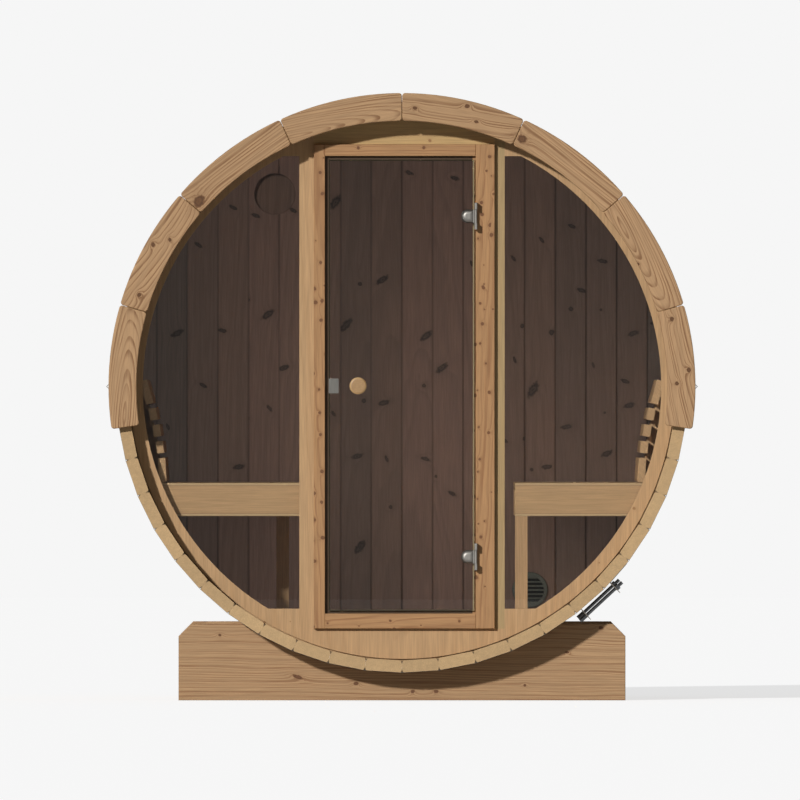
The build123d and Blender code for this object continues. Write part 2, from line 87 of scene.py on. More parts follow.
def timber_group():
    """Sawn softwood as a solid: growth rings round a pith, fibres and knots, in millimetres."""
    log_spread = 9000  # boards are cut from places this far apart in one endless log
    knot_length = 2.8  # how many times longer than wide the cells are that hold a knot each
    fibre_size = (90, 3.2, 3.2)  # length, width and depth
    streak_size = (210, 17, 17)
    warp_size = (420, 80, 80)
    pith_reach = (0, 240, 120)  # how far at most the pith of one board lies from that of another
    tree = bpy.data.node_groups.new("sawn softwood", "ShaderNodeTree")
    numbers = {
        "Along": 0, "Across": 0, "Depth": 0, "Board": 0, "Pith Across": 0, "Pith Depth": 110,
        "Pith Lean": 0.03, "Pith Spread": 1, "Ring Width": 10, "Ring Contrast": 1, "Swirl": 14,
        "Knot Share": 0.3, "Knot Size": 10, "Knot Spacing": 420, "Placed Knot": 9,
        "Board Contrast": 0.12,
    }
    for name, value in numbers.items():
        socket = tree.interface.new_socket(name=name, in_out="INPUT", socket_type="NodeSocketFloat")
        socket.default_value = value
    for name in ("Early Wood", "Late Wood", "Knot Wood"):
        tree.interface.new_socket(name=name, in_out="INPUT", socket_type="NodeSocketColor")
    tree.interface.new_socket(name="Colour", in_out="OUTPUT", socket_type="NodeSocketColor")
    tree.interface.new_socket(name="Height", in_out="OUTPUT", socket_type="NodeSocketFloat")
    g = tree.nodes.new("NodeGroupInput").outputs

    def maths(operation, *values):
        return add(tree, "ShaderNodeMath", values, operation=operation)

    def vectors(operation, *values):
        return add(tree, "ShaderNodeVectorMath", values, operation=operation)

    def scaled(vector, scale):
        return add(tree, "ShaderNodeVectorMath", {0: vector, "Scale": scale}, operation="SCALE")

    def smooth(value, low, high, start=0.0, end=1.0):
        return add(
            tree, "ShaderNodeMapRange", {0: value, 1: low, 2: high, 3: start, 4: end},
            interpolation_type="SMOOTHSTEP",
        )

    def blend(share, first, second):
        mix = add(
            tree, "ShaderNodeMix", {0: share, 6: first, 7: second}, data_type="RGBA", clamp_factor=True
        )
        return mix.outputs[2]

    chance = add(tree, "ShaderNodeTexWhiteNoise", {"W": g["Board"]}, noise_dimensions="1D")
    dice = add(tree, "ShaderNodeSeparateColor", [chance.outputs["Color"]])
    place = add(tree, "ShaderNodeCombineXYZ", [g["Along"], g["Across"], g["Depth"]])
    shift = scaled(chance.outputs["Color"], log_spread)
    log = vectors("ADD", place, shift)

    # Knots: branches that run through the board, one in each cell of a long grid, some left out.
    flat = vectors("MULTIPLY", log, (1, knot_length, 0))
    cells = vectors("DIVIDE", flat, g["Knot Spacing"])
    knots = add(tree, "ShaderNodeTexVoronoi", {"Vector": cells, "Scale": 1}, voronoi_dimensions="2D")
    away = vectors("SUBTRACT", cells, knots.outputs["Position"])
    away = vectors("MULTIPLY", away, (1, 1 / knot_length, 0))
    away = vectors("MULTIPLY", away, g["Knot Spacing"])
    distance = vectors("LENGTH", away).outputs["Value"]
    knot_dice = add(tree, "ShaderNodeSeparateColor", [knots.outputs["Color"]])
    present = maths("LESS_THAN", knot_dice.outputs[0], g["Knot Share"])
    size = maths("MULTIPLY", maths("ADD", knot_dice.outputs[1], 0.5), g["Knot Size"])
    reach = maths("DIVIDE", distance, size)
    reach = maths("ADD", reach, maths("MULTIPLY", maths("SUBTRACT", 1.0, present), 9.0))
    reach = maths("MINIMUM", reach, g["Placed Knot"])
    rough = add(tree, "ShaderNodeTexNoise", {"Vector": log, "Scale": 0.11, "Detail": 2})
    reach = maths("ADD", reach, maths("MULTIPLY", maths("SUBTRACT", rough, 0.5), 0.9))
    reach = maths("MAXIMUM", reach, 0.0)
    knot = smooth(reach, 1.15, 0.8)
    halo = maths("POWER", 0.42, reach)

    # Growth rings round a pith beside the board that leans along it, bent out round the knots.
    slow = vectors("MULTIPLY", log, tuple(1 / size for size in warp_size))
    warp = add(tree, "ShaderNodeTexNoise", {"Vector": slow, "Scale": 1, "Detail": 1.5})
    warp = vectors("SUBTRACT", warp.outputs["Color"], (0.5, 0.5, 0.5))
    warp = scaled(warp, g["Swirl"])
    own_pith = vectors("SUBTRACT", chance.outputs["Color"], (0.5, 0.5, 0.5))
    own_pith = scaled(vectors("MULTIPLY", own_pith, pith_reach), g["Pith Spread"])
    drop = maths("ADD", maths("MULTIPLY", g["Along"], g["Pith Lean"]), g["Pith Depth"])
    side = maths("MULTIPLY", g["Pith Across"], -1.0)
    pith = add(tree, "ShaderNodeCombineXYZ", [0, side, drop])
    radial = place
    for part in (own_pith, warp, pith):
        radial = vectors("ADD", radial, part)
    radial = vectors("MULTIPLY", radial, (0, 1, 1))
    radius = vectors("LENGTH", radial).outputs["Value"]
    radius = maths("ADD", radius, maths("MULTIPLY", maths("MULTIPLY", halo, g["Knot Size"]), 3.0))
    ring = maths("DIVIDE", radius, g["Ring Width"])
    uneven = add(tree, "ShaderNodeTexNoise", {"W": ring, "Scale": 0.6, "Detail": 1}, noise_dimensions="1D")
    ring = maths("FRACT", maths("ADD", ring, maths("MULTIPLY", uneven, 1.8)))
    late = maths("MULTIPLY", smooth(ring, 0.35, 0.88), smooth(ring, 1.0, 0.93))

    # Fibres, and broader streaks of stronger and weaker rings.
    fine = vectors("MULTIPLY", log, tuple(1 / size for size in fibre_size))
    fibre = add(tree, "ShaderNodeTexNoise", {"Vector": fine, "Scale": 1, "Detail": 3})
    broad = vectors("MULTIPLY", log, tuple(1 / size for size in streak_size))
    streak = add(tree, "ShaderNodeTexNoise", {"Vector": broad, "Scale": 1, "Detail": 2})
    share = maths("MULTIPLY", late, smooth(streak, 0.3, 0.7, 0.3, 1.0))
    share = maths("MULTIPLY", share, g["Ring Contrast"])
    colour = blend(share, g["Early Wood"], g["Late Wood"])
    own = maths("MULTIPLY_ADD", maths("SUBTRACT", dice.outputs[1], 0.5), g["Board Contrast"], 1.0)
    tone = maths("MULTIPLY", smooth(fibre, 0.25, 0.75, 0.88, 1.1), smooth(streak, 0.25, 0.75, 0.93, 1.06))
    tone = maths("MULTIPLY", tone, own)
    colour = blend(maths("MULTIPLY", halo, 0.55), scaled(colour, tone), g["Late Wood"])

    # A knot is dark at its heart and its bark edge, with rings of its own between.
    grown = maths("ABSOLUTE", maths("SINE", maths("MULTIPLY", reach, 5.2)))
    knot_colour = blend(maths("MULTIPLY", grown, 0.55), g["Knot Wood"], g["Late Wood"])
    colour = blend(knot, colour, knot_colour)
    height = maths("SUBTRACT", fibre, maths("MULTIPLY", late, 0.6))
    add(tree, "NodeGroupOutput", {"Colour": colour, "Height": height})
    return tree


softwood = timber_group()


def new_material(name):
    """A material with an empty tree."""
    material = bpy.data.materials.new(name)
    material.use_nodes = True
    material.node_tree.nodes.clear()
    return material, material.node_tree


def millimetres(tree):
    """The place of each point of a piece at rest, in millimetres."""
    point = add(tree, "ShaderNodeTexCoord").outputs["Object"]
    return add(tree, "ShaderNodeVectorMath", {0: point, "Scale": 1000}, operation="SCALE").outputs[0]


def planed_wood(name, tones, lay, finish=None, **settings):
    """Bare planed wood: matt, IOR 1.5, with rings and fibres in low relief.

    The lay gives each point its place in its board; a finish may change the colour there."""
    material, tree = new_material(name)
    xyz = add(tree, "ShaderNodeSeparateXYZ", [millimetres(tree)]).outputs
    values = {key.replace("_", " ").title(): value for key, value in settings.items()}
    values.update(zip(("Early Wood", "Late Wood", "Knot Wood"), (linear(code) for code in tones)))
    values.update(lay(tree, xyz))
    wood = add(tree, "ShaderNodeGroup", values, node_tree=softwood)
    colour = wood.outputs["Colour"]
    if finish:
        colour = finish(tree, xyz, colour)
    relief = add(
        tree, "ShaderNodeBump", {"Strength": 0.3, "Distance": 0.0003, "Height": wood.outputs["Height"]}
    )
    shine = add(tree, "ShaderNodeMapRange", {0: wood.outputs["Height"], 1: -0.2, 2: 0.8, 3: 0.52, 4: 0.68})
    surface = add(
        tree, "ShaderNodeBsdfPrincipled",
        {"Base Color": colour, "Roughness": shine, "IOR": 1.5, "Specular IOR Level": 0.25, "Normal": relief},
    )
    add(tree, "ShaderNodeOutputMaterial", [surface])
    return material


def paint(material, *names):
    """Gives CAD nodes their material."""
    for name in names:
        nodes[name].data.materials.clear()
        nodes[name].data.materials.append(material)


axis_height = 1101  # of the barrel's axis, in millimetres


def round_lay(tree, xyz, pitch):
    """For boards set round the barrel: the place along the turn and outwards in each, and its number."""
    x, y, z = xyz
    up = add(tree, "ShaderNodeMath", [z, axis_height], operation="SUBTRACT")
    angle = add(tree, "ShaderNodeMath", [x, up], operation="ARCTAN2")
    turn = add(tree, "ShaderNodeMath", [angle, math.radians(pitch)], operation="DIVIDE")
    board = add(tree, "ShaderNodeMath", [turn], operation="FLOOR")
    middle = add(tree, "ShaderNodeMath", [board, 0.5], operation="ADD")
    middle = add(tree, "ShaderNodeMath", [middle, math.radians(pitch)], operation="MULTIPLY")
    point = add(tree, "ShaderNodeCombineXYZ", [x, up, y])
    local = add(tree, "ShaderNodeVectorRotate", {"Vector": point, "Angle": middle}, rotation_type="Z_AXIS")
    return add(tree, "ShaderNodeSeparateXYZ", [local]).outputs, board


stave_pitch = 7.5  # degrees from one stave to the next
stave_outside = 1000  # from the barrel's axis
stave_thickness = 42
seam_stretch = 0.35  # a step along a seam counts this much beside one away from it
darkest_shade_reach = 3.0  # distance from the end of a seam up to which its painted shade is darkest
shade_end_reach = 5.5
painted_shade_tone = 0.22


def stave_lay(tree, xyz):
    """End grain with faint rings on the ends, straight grain along the rest."""
    (across, outwards, along), board = round_lay(tree, xyz, stave_pitch)
    depth = add(tree, "ShaderNodeMath", [outwards, stave_outside], operation="SUBTRACT")
    facing = add(tree, "ShaderNodeNewGeometry").outputs["Normal"]
    facing = add(tree, "ShaderNodeSeparateXYZ", [facing]).outputs[1]
    facing = add(tree, "ShaderNodeMath", [facing], operation="ABSOLUTE")
    contrast = add(tree, "ShaderNodeMapRange", {0: facing, 1: 0.6, 2: 0.9, 3: 0.75, 4: 0.2})
    return {"Along": along, "Across": across, "Depth": depth, "Board": board, "Ring Contrast": contrast}


def seam_shade(tree, xyz, colour):
    """Painted shade in the bevels of the seams, seen on the ends as a dark point at either end of each seam.
    """
    (across, outwards, _), _ = round_lay(tree, xyz, stave_pitch)
    half_width = math.tan(math.radians(stave_pitch / 2))
    half = add(tree, "ShaderNodeMath", [outwards, half_width], operation="MULTIPLY")
    side = add(tree, "ShaderNodeMath", [across], operation="ABSOLUTE")
    to_seam = add(tree, "ShaderNodeMath", [half, side], operation="SUBTRACT")
    middle = stave_outside - stave_thickness / 2
    from_middle = add(tree, "ShaderNodeMath", [outwards, middle], operation="SUBTRACT")
    from_middle = add(tree, "ShaderNodeMath", [from_middle], operation="ABSOLUTE")
    to_face = add(tree, "ShaderNodeMath", [stave_thickness / 2, from_middle], operation="SUBTRACT")
    reach = add(tree, "ShaderNodeMath", [to_face, seam_stretch, to_seam], operation="MULTIPLY_ADD")
    shade = add(
        tree, "ShaderNodeMapRange", {0: reach, 1: darkest_shade_reach, 2: shade_end_reach, 3: painted_shade_tone, 4: 1.0}
    )
    return add(tree, "ShaderNodeVectorMath", {0: colour, "Scale": shade}, operation="SCALE")


stave_spruce = planed_wood(
    "planed spruce staves", ("B99A70", "A47F54", "6E4A30"), stave_lay, seam_shade,
    ring_width=9, knot_share=0.3, knot_size=9, board_contrast=0.14,
)
paint(stave_spruce, *[f"staves_{i}" for i in range(1, 9)])


# Arch boards. Eight sawn spruce segments at each end, fixed to the ends of the staves, with
# rounded corners and a grain that runs the length of each segment, arched where its pith is near.
def colour_by_board(tree, board, colours):
    """One colour for each board, from the left; boards are numbered from the middle, where 0 begins."""
    count = len(colours)
    spread = add(tree, "ShaderNodeMath", [board, (count + 1) / 2], operation="ADD")
    spread = add(tree, "ShaderNodeMath", [spread, count], operation="DIVIDE")
    ramp = add(tree, "ShaderNodeValToRGB", [spread])
    ramp.color_ramp.interpolation = "CONSTANT"
    stops = ramp.color_ramp.elements
    for i in range(1, count):
        stops.new(i / count)
    for stop, colour in zip(stops, colours):
        stop.color = colour
    return ramp.outputs["Color"]


def by_board(tree, board, rows):
    """Three numbers between -1 and 1 for each board, from the left, as separate outputs."""
    colours = [[0.5 + 0.5 * value for value in row] + [1] for row in rows]
    coded = colour_by_board(tree, board, colours)
    numbers = add(tree, "ShaderNodeVectorMath", [coded, (2, 2, 2), (-1, -1, -1)], operation="MULTIPLY_ADD")
    return add(tree, "ShaderNodeSeparateXYZ", [numbers]).outputs


far_away = 9.0  # from any knot, in knot radii


def placed_knots(tree, spot, knots):
    """Distance to the nearest of some knots, each given by place, half length, half width and turn."""
    deep = 100  # half of how far a knot runs into its board
    nearest = far_away
    for x, z, length, width, turn in knots:
        seen = add(
            tree, "ShaderNodeMapping",
            {"Vector": spot, "Location": (x, z, 0), "Rotation": (0, 0, math.radians(turn)),
             "Scale": (length, width, deep)},
            vector_type="TEXTURE",
        )
        reach = add(tree, "ShaderNodeVectorMath", [seen], operation="LENGTH").outputs["Value"]
        nearest = add(tree, "ShaderNodeMath", [nearest, reach], operation="MINIMUM")
    return nearest


arch_pitch = 24.6  # degrees from one arch board to the next
arch_middle = 980  # of the width of a board, from the barrel's axis
arch_face = 942  # from the middle of the barrel to the face of its front arch
rear_number = 20  # added to the number of a board of the rear arch
# Where the pith of each front board lies, from the lowest on the left clockwise: how far across,
# how deep, and how much it leans, each as a share of the reach below; a shallow leaning pith gives
# arched grain, a far one straight.
arch_pith_reach = (350, 400, 0.3)
arch_piths = [
    (-0.05, 0.06, 0.5), (0.35, 0.55, -0.3), (-0.9, 0.7, 0.05), (-0.12, 0.06, 0.42),
    (0.5, 0.75, 0.12), (-0.8, 0.7, 0.08), (-0.1, 0.05, 0.55), (0.3, 0.3, 0.45),
]
# Angle round the barrel, distance from its axis, half length, half width and turn of each knot.
arch_knots = [
    (-47.6, 962, 24, 19, 0), (-60.3, 1004, 9, 7, 30), (-57.7, 962, 8, 6, 40), (-70.8, 975, 8, 7, 0),
    (2.7, 976, 8, 6, 0), (13.1, 1008, 9, 7, 30), (15.7, 963, 8, 5, 0), (25.9, 963, 17, 15, 0),
    (76.0, 974, 8, 8, 0), (86.7, 1006, 9, 8, 0), (89.4, 963, 7, 7, 0),
]


def arch_lay(tree, xyz):
    """Grain along each segment; the boards at the rear come from other parts of the log."""
    (along, outwards, y), board = round_lay(tree, xyz, arch_pitch)
    across = add(tree, "ShaderNodeMath", [outwards, arch_middle], operation="SUBTRACT")
    rear = add(tree, "ShaderNodeMath", [y, 0.0], operation="GREATER_THAN")
    number = add(tree, "ShaderNodeMath", [rear, rear_number, board], operation="MULTIPLY_ADD")
    pith_across, pith_depth, lean = by_board(tree, board, arch_piths)
    sideways, inwards, leaning = arch_pith_reach
    pith_across = add(tree, "ShaderNodeMath", [pith_across, sideways], operation="MULTIPLY")
    pith_depth = add(tree, "ShaderNodeMath", [pith_depth, inwards, arch_face], operation="MULTIPLY_ADD")
    lean = add(tree, "ShaderNodeMath", [lean, leaning], operation="MULTIPLY")
    front = add(tree, "ShaderNodeMath", [y, arch_face], operation="ADD")
    up = add(tree, "ShaderNodeMath", [xyz[2], axis_height], operation="SUBTRACT")
    spot = add(tree, "ShaderNodeCombineXYZ", [xyz[0], up, front])
    knots = []
    for angle, radius, length, width, turn in arch_knots:
        a = math.radians(angle)
        knots.append((radius * math.sin(a), radius * math.cos(a), length, width, turn - angle))
    return {
        "Along": along, "Across": across, "Depth": y, "Board": number, "Pith Across": pith_across,
        "Pith Depth": pith_depth, "Pith Lean": lean, "Placed Knot": placed_knots(tree, spot, knots),
    }


arch_spruce = planed_wood(
    "sawn spruce arch boards", ("B18D67", "755030", "50341F"), arch_lay,
    ring_width=8, ring_contrast=0.92, swirl=15, pith_spread=0.0, knot_share=0.1, knot_size=10,
    board_contrast=0.1,
)
paint(arch_spruce, "front_arch_left", "front_arch_right", "rear_arch_left", "rear_arch_right")


# Front wall. A spruce panel under the door and curved rims round the windows, grooved for the
# panes, with upright posts beside the door frame; the grain stands upright throughout.
def upright_lay(tree, xyz):
    """Upright grain."""
    x, y, z = xyz
    return {"Along": z, "Across": x, "Depth": y, "Board": 1.0}


front_spruce = planed_wood(
    "planed spruce front wall", ("B5926A", "A07C54", "8A6440"), upright_lay,
    ring_width=16, ring_contrast=0.45, swirl=20, knot_share=0.1, knot_size=4, knot_spacing=200,
)
post_spruce = planed_wood(
    "planed spruce right post", ("A98F66", "9A7C50", "8A6440"), upright_lay,
    ring_width=14, ring_contrast=0.4, swirl=16, knot_share=0.05, knot_size=4,
)
paint(front_spruce, "front_lower_panel", "front_post_left", "window_rim_left", "window_rim_right")
paint(post_spruce, "front_post_right")


# Door frame. Spruce jambs with a head and a sill between them, darker than the wall and full
# of small knots, and a lighter curved board over the head.
def level_lay(tree, xyz):
    """Grain from side to side."""
    x, y, z = xyz
    return {"Along": x, "Across": z, "Depth": y, "Board": 2.0}


stop_front = -812  # just in front of the stop that the leaf closes against
hinge_edge = 247  # just left of the right jamb's part of it


def dark_stop(tree, xyz, colour):
    """A dark brown front to the stop, seen in the gap round the three free sides of the leaf."""
    x, y, z = xyz
    facing = add(tree, "ShaderNodeNewGeometry").outputs["Normal"]
    facing = add(tree, "ShaderNodeSeparateXYZ", [facing]).outputs[1]
    front = add(tree, "ShaderNodeMath", [facing, -0.5], operation="LESS_THAN")
    deep = add(tree, "ShaderNodeMath", [y, stop_front], operation="GREATER_THAN")
    free = add(tree, "ShaderNodeMath", [x, hinge_edge], operation="LESS_THAN")
    dark = add(tree, "ShaderNodeMath", [front, deep], operation="MULTIPLY")
    dark = add(tree, "ShaderNodeMath", [dark, free], operation="MULTIPLY")
    seen = add(tree, "ShaderNodeMix", {0: dark, 6: colour, 7: linear("4A3826")}, data_type="RGBA")
    return seen.outputs[2]


frame_tones = ("AA8158", "815836", "62402A")
frame_upright = planed_wood(
    "planed spruce jambs", frame_tones, upright_lay, dark_stop,
    ring_width=11, ring_contrast=0.72, swirl=26, knot_share=0.6, knot_size=5, knot_spacing=75,
)
frame_level = planed_wood(
    "planed spruce head and sill", frame_tones, level_lay, dark_stop,
    ring_width=11, ring_contrast=0.72, swirl=26, knot_share=0.35, knot_size=4.5, knot_spacing=110,
)
paint(frame_upright, "door_jamb_left", "door_jamb_right")
paint(frame_level, "door_head", "door_sill")
head_spruce = planed_wood(
    "planed spruce head panel", ("BE9E6C", "A27E55", "8A6440"), level_lay,
    ring_width=14, ring_contrast=0.5, swirl=22, knot_share=0.2, knot_size=5,
)
paint(head_spruce, "front_head_panel")


# Cradles. Two sawn spruce beams on edge, hollowed to the round of the barrel, with level grain
# and a few knots that show on the front beam.
cradle_face = 730  # from the middle of the barrel to the face of the front beam
# Place, half length, half width and turn of each knot, heights above the ground.
cradle_knots = [
    (-639, 229, 6, 5, 0), (-161, 59, 9, 6, 0), (-366, 82, 20, 7, -20), (37, 31, 7, 6, 0),
    (120, 31, 9, 6, 0), (431, 53, 5, 5, 0), (580, 169, 8, 4, 0), (698, 255, 9, 6, 0),
]


def cradle_lay(tree, xyz):
    """Level grain, from another part of the log in each beam."""
    x, y, z = xyz
    front = add(tree, "ShaderNodeMath", [y, cradle_face], operation="ADD")
    spot = add(tree, "ShaderNodeCombineXYZ", [x, z, front])
    beam = add(tree, "ShaderNodeMath", [y, 0.0], operation="GREATER_THAN")
    knots = placed_knots(tree, spot, cradle_knots)
    return {"Along": x, "Across": z, "Depth": y, "Board": beam, "Placed Knot": knots}


cradle_spruce = planed_wood(
    "sawn spruce cradles", ("B18E68", "7A5333", "553622"), cradle_lay,
    pith_across=420, pith_depth=500, pith_lean=0.02, pith_spread=0.2,
    ring_width=8, ring_contrast=0.7, swirl=18, knot_share=0.0, knot_size=9,
)
paint(cradle_spruce, "cradle_front", "cradle_rear")


# Benches, backrests and duckboard. Planed aspen slats and boards inside the barrel, warm and
# almost plain; each apron has rounded edges that look paler behind a fine dark line.
slat_pitch = 105  # from one slat of the duckboard to the next


def lengthwise_lay(tree, xyz):
    """Grain from front to back, cut anew for each slat of the duckboard."""
    x, y, z = xyz
    board = add(tree, "ShaderNodeMath", [x, slat_pitch], operation="DIVIDE")
    board = add(tree, "ShaderNodeMath", [board, 0.5], operation="ADD")
    board = add(tree, "ShaderNodeMath", [board], operation="FLOOR")
    return {"Along": y, "Across": x, "Depth": z, "Board": board}


def apron_edges(tree, xyz, colour):
    """Lighter rounded edges along the top and the foot of the apron, each behind a fine dark line."""
    middle, half_height, rounded = 704.6, 58.5, 10
    flat = half_height - rounded
    off = add(tree, "ShaderNodeMath", [xyz[2], middle], operation="SUBTRACT")
    off = add(tree, "ShaderNodeMath", [off], operation="ABSOLUTE")
    edge = add(tree, "ShaderNodeMath", [off, flat], operation="GREATER_THAN")
    edge = add(tree, "ShaderNodeMath", [edge, 0.6], operation="MULTIPLY")
    line = add(tree, "ShaderNodeMath", [off, flat], operation="SUBTRACT")
    line = add(tree, "ShaderNodeMath", [line], operation="ABSOLUTE")
    line = add(tree, "ShaderNodeMapRange", {0: line, 1: 0.6, 2: 1.8, 3: 0.55, 4: 0.0})
    for share, tone in ((edge, "C6A785"), (line, "7A4632")):
        mix = add(tree, "ShaderNodeMix", {0: share, 6: colour, 7: linear(tone)}, data_type="RGBA")
        colour = mix.outputs[2]
    return colour


inner_tones = ("C49B77", "AA825F", "7A5638")
inner_long = planed_wood(
    "planed aspen slats", inner_tones, lengthwise_lay,
    ring_width=12, ring_contrast=0.5, knot_share=0.1, knot_size=6,
)
inner_aprons = planed_wood(
    "planed aspen aprons", ("C09772", "B08763", "7A5638"), level_lay, apron_edges,
    ring_width=18, ring_contrast=0.3, swirl=20, knot_share=0.05, knot_size=6,
)
inner_level = planed_wood(
    "planed aspen bearers", inner_tones, level_lay,
    ring_width=18, ring_contrast=0.4, swirl=20, knot_share=0.05, knot_size=6,
)
inner_upright = planed_wood(
    "planed aspen legs", inner_tones, upright_lay,
    ring_width=12, ring_contrast=0.4, knot_share=0.1, knot_size=6,
)
paint(inner_long, "bench_seat_left", "bench_seat_right", "backrest_left", "backrest_right", "floor_deck")
paint(inner_aprons, "bench_aprons_left", "bench_aprons_right")
paint(inner_level, "bench_bearers_left", "bench_bearers_right", "floor_bearers")
paint(inner_upright, "bench_legs", "backrest_brackets_left", "backrest_brackets_right")


# Back wall. Upright heat-treated spruce boards, dark brown right through, tongued and glued
# together with a V along each joint, trimmed to the round of the barrel and rebated into the staves.
wall_cover = 0.109  # visible width of a board
joint_width = 0.004  # half the width of the V along a joint, and its depth
wall_face_radius = 0.955  # of the faces; the tongue round them is wider by its hold in the staves
wall_rebate = 0.024  # what the rebates take off the thickness at the tongue
round_sides = 192  # facets round the wall
bore_sides = 64
bore_length = 1.0  # of a cutter, well beyond the wall's thickness


def boarded_wall():
    """A round board with a tongue, less a bar along each joint on both faces, and less its bores."""
    tree = bpy.data.node_groups.new("boarded round wall", "GeometryNodeTree")
    for name, kind in (
        ("Boards", "NodeSocketInt"), ("Cover", "NodeSocketFloat"), ("Thickness", "NodeSocketFloat"),
        ("V Joint", "NodeSocketFloat"), ("Radius", "NodeSocketFloat"),
        ("Face Radius", "NodeSocketFloat"), ("Tongue", "NodeSocketFloat"),
        ("High Bore", "NodeSocketFloat"), ("High Place", "NodeSocketVector"),
        ("Sink", "NodeSocketFloat"), ("Sink Place", "NodeSocketVector"),
        ("Low Bore", "NodeSocketFloat"), ("Low Place", "NodeSocketVector"),
        ("Wood", "NodeSocketMaterial"),
    ):
        tree.interface.new_socket(name=name, in_out="INPUT", socket_type=kind)
    tree.interface.new_socket(name="Geometry", in_out="OUTPUT", socket_type="NodeSocketGeometry")
    g = tree.nodes.new("NodeGroupInput").outputs
    side = add(tree, "ShaderNodeMath", [g["V Joint"], math.sqrt(2)], operation="MULTIPLY")
    square = add(tree, "GeometryNodeCurvePrimitiveQuadrilateral", {"Width": side, "Height": side})
    diamond = add(tree, "GeometryNodeTransform", {"Geometry": square, "Rotation": (0, 0, math.pi / 4)})
    ends = []
    for reach in (-1.1, 1.1):
        height = add(tree, "ShaderNodeMath", [g["Radius"], reach], operation="MULTIPLY")
        ends.append(add(tree, "ShaderNodeCombineXYZ", [0, 0, height]))
    line = add(tree, "GeometryNodeCurvePrimitiveLine", {"Start": ends[0], "End": ends[1]})
    cutter = add(
        tree, "GeometryNodeCurveToMesh", {"Curve": line, "Profile Curve": diamond, "Fill Caps": True}
    )
    joints = add(tree, "ShaderNodeMath", [g["Boards"], 1], operation="SUBTRACT")
    start = add(tree, "ShaderNodeMath", [g["Boards"], -0.5, 1.0], operation="MULTIPLY_ADD")
    start = add(tree, "ShaderNodeMath", [start, g["Cover"]], operation="MULTIPLY")
    step = add(tree, "ShaderNodeCombineXYZ", [g["Cover"], 0, 0])
    cutters = tree.nodes.new("GeometryNodeJoinGeometry")
    for face in (-0.5, 0.5):
        level = add(tree, "ShaderNodeMath", [g["Thickness"], face], operation="MULTIPLY")
        first = add(tree, "ShaderNodeCombineXYZ", [start, level, 0])
        row = add(tree, "GeometryNodeMeshLine", {"Count": joints, "Start Location": first, "Offset": step})
        laid = add(tree, "GeometryNodeInstanceOnPoints", {"Points": row, "Instance": cutter})
        tree.links.new(laid.outputs[0], cutters.inputs[0])
    cutters = add(tree, "GeometryNodeRealizeInstances", [cutters])

    def drum(vertices, radius, depth, place=(0, 0, 0)):
        round_bar = add(
            tree, "GeometryNodeMeshCylinder", {"Vertices": vertices, "Radius": radius, "Depth": depth}
        )
        return add(
            tree, "GeometryNodeTransform",
            {"Geometry": round_bar, "Translation": place, "Rotation": (math.pi / 2, 0, 0)},
        )

    def joined(operation, first, second):
        node = add(tree, "GeometryNodeMeshBoolean", operation=operation)
        socket = "Mesh 1" if operation == "DIFFERENCE" else "Mesh 2"
        tree.links.new(first.outputs[0], node.inputs[socket])
        tree.links.new(second.outputs[0], node.inputs["Mesh 2"])
        return node

    full = drum(round_sides, g["Face Radius"], g["Thickness"])
    tongue = drum(round_sides, g["Radius"], g["Tongue"])
    wall = joined("DIFFERENCE", joined("UNION", full, tongue), cutters)
    for size, place in (("High Bore", "High Place"), ("Low Bore", "Low Place"), ("Sink", "Sink Place")):
        wall = joined("DIFFERENCE", wall, drum(bore_sides, g[size], bore_length, g[place]))
    whole = add(tree, "GeometryNodeRealizeInstances", [wall])
    whole = add(tree, "GeometryNodeSetMaterial", {"Geometry": whole, "Material": g["Wood"]})
    add(tree, "NodeGroupOutput", [whole])
    return tree


def grown(name, tree, values, place):
    """Runs a Geometry Nodes tree once and keeps its result as a plain mesh at its place."""
    holder = bpy.data.objects.new(name, bpy.data.meshes.new(name))
    bpy.context.scene.collection.objects.link(holder)
    modifier = holder.modifiers.new("build", "NODES")
    modifier.node_group = tree
    for item in tree.interface.items_tree:
        if item.in_out == "INPUT" and item.name in values:
            modifier[item.identifier] = values[item.name]
    holder.update_tag()
    seen = holder.evaluated_get(bpy.context.evaluated_depsgraph_get())
    mesh = bpy.data.meshes.new_from_object(seen)
    mesh.transform(Matrix.Translation(place))
    clean = bmesh.new()
    clean.from_mesh(mesh)
    bmesh.ops.remove_doubles(clean, verts=clean.verts, dist=0.00001)
    loose = [point for point in clean.verts if not point.link_faces]
    bmesh.ops.delete(clean, geom=loose, context="VERTS")
    bmesh.ops.recalc_face_normals(clean, faces=clean.faces)
    clean.to_mesh(mesh)
    clean.free()
    mesh.materials.clear()
    mesh.materials.append(values["Wood"])
    for face in mesh.polygons:
        face.material_index = 0
    holder.modifiers.clear()
    holder.data = mesh
    return holder


# Tints of the boards, plain brown, reddish, dark and drab, and their order from left to right.
wall_tints = {"o": "83675B", "r": "8F6F63", "b": "6B5A53", "d": "796157"}
wall_order = "bbdorrodorrroodddb"
